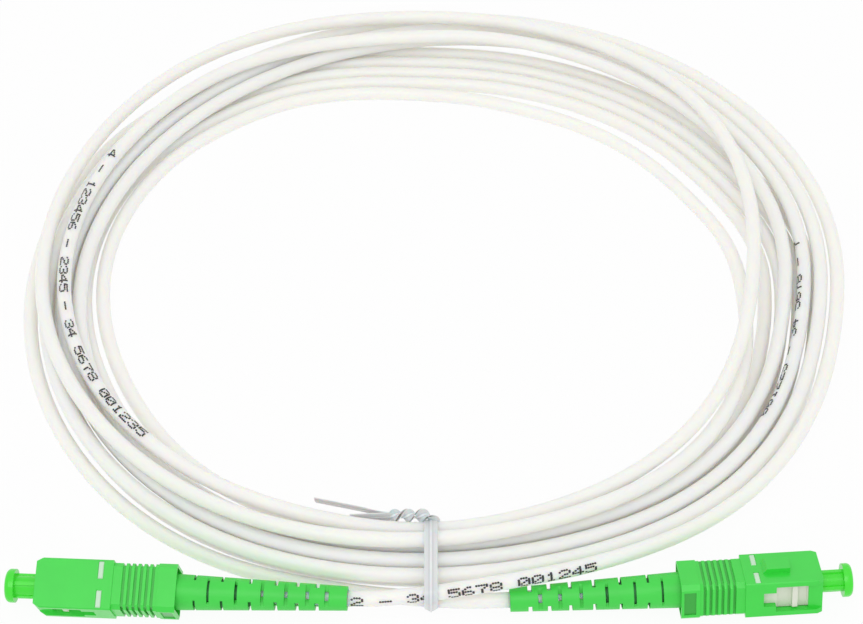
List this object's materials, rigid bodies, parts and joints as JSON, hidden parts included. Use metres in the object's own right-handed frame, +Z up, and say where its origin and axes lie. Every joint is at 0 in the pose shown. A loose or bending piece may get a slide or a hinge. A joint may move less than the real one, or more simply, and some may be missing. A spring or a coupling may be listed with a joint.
{
  "type": "fiber optic patch cord",
  "caption": "White optical fibre cord, coiled and tied, with a green angled square plug, slotted boot and dust cap at each end.",
  "frame": {"origin": "on the ground under the middle of the two plugs' bounding box", "axes": "+X from the left plug to the right one, +Y towards the coil, +Z up"},
  "size_m": [0.1645, 0.1632, 0.0113],
  "materials": {
    "grip_plastic": "moulded, satin to glossy green",
    "cap_plastic": "moulded, glossy green",
    "boot_rubber": "soft, satin green",
    "frame_plastic": "moulded, ivory",
    "ceramic": "polished zirconia ceramic",
    "plated_metal": "nickel plated brass, turned",
    "spring_steel": "drawn stainless wire",
    "clear_tube": "translucent white tubing",
    "crimp_metal": "crimped, dark anodised",
    "yarn": "yellow aramid yarn",
    "cord_jacket": "smooth white jacket, satin",
    "fibre_buffer": "tight buffer, cream",
    "tie_plastic": "translucent white plastic over wire"
  },
  "bodies": {
    "cord": {"cord_coil": "cord_jacket", "left_lead": "cord_jacket", "right_lead": "cord_jacket", "twist_tie": "tie_plastic", "left_plug_frame": "frame_plastic", "left_spring": "spring_steel", "left_stop_body": "plated_metal", "left_yarn": "yarn", "left_crimp_sleeve": "crimp_metal", "left_boot": "boot_rubber", "left_cord_end": "cord_jacket", "left_buffered_fibre": "fibre_buffer", "right_plug_frame": "frame_plastic", "right_spring": "spring_steel", "right_stop_body": "plated_metal", "right_yarn": "yarn", "right_crimp_sleeve": "crimp_metal", "right_boot": "boot_rubber", "right_cord_end": "cord_jacket", "right_buffered_fibre": "fibre_buffer"},
    "left_sleeve": {"left_grip": "grip_plastic"},
    "left_core": {"left_ferrule": "ceramic", "left_ferrule_flange": "plated_metal", "left_guide_tube": "clear_tube"},
    "left_cap": {"left_dust_cap": "cap_plastic"},
    "right_sleeve": {"right_grip": "grip_plastic"},
    "right_core": {"right_ferrule": "ceramic", "right_ferrule_flange": "plated_metal", "right_guide_tube": "clear_tube"},
    "right_cap": {"right_dust_cap": "cap_plastic"}
  },
  "joints": [
    {"name": "left_grip_slide", "type": "slide", "parent": "cord", "child": "left_sleeve", "axis": [0.9981, -0.0593, 0.0175], "range_m": [0, 0.0016]},
    {"name": "left_ferrule_slide", "type": "slide", "parent": "cord", "child": "left_core", "axis": [0.9981, -0.0593, 0.0175], "range_m": [0, 0.001], "stiffness_N_per_m": 2000, "deforming": ["left_spring"]},
    {"name": "left_cap_pull", "type": "slide", "parent": "left_core", "child": "left_cap", "axis": [-0.9981, 0.0593, -0.0175], "range_m": [0, 0.012]},
    {"name": "right_grip_slide", "type": "slide", "parent": "cord", "child": "right_sleeve", "axis": [-0.9983, -0.0471, -0.0349], "range_m": [0, 0.0016]},
    {"name": "right_ferrule_slide", "type": "slide", "parent": "cord", "child": "right_core", "axis": [-0.9983, -0.0471, -0.0349], "range_m": [0, 0.001], "stiffness_N_per_m": 2000, "deforming": ["right_spring"]},
    {"name": "right_cap_pull", "type": "slide", "parent": "right_core", "child": "right_cap", "axis": [0.9983, 0.0471, 0.0349], "range_m": [0, 0.012]}
  ]
}
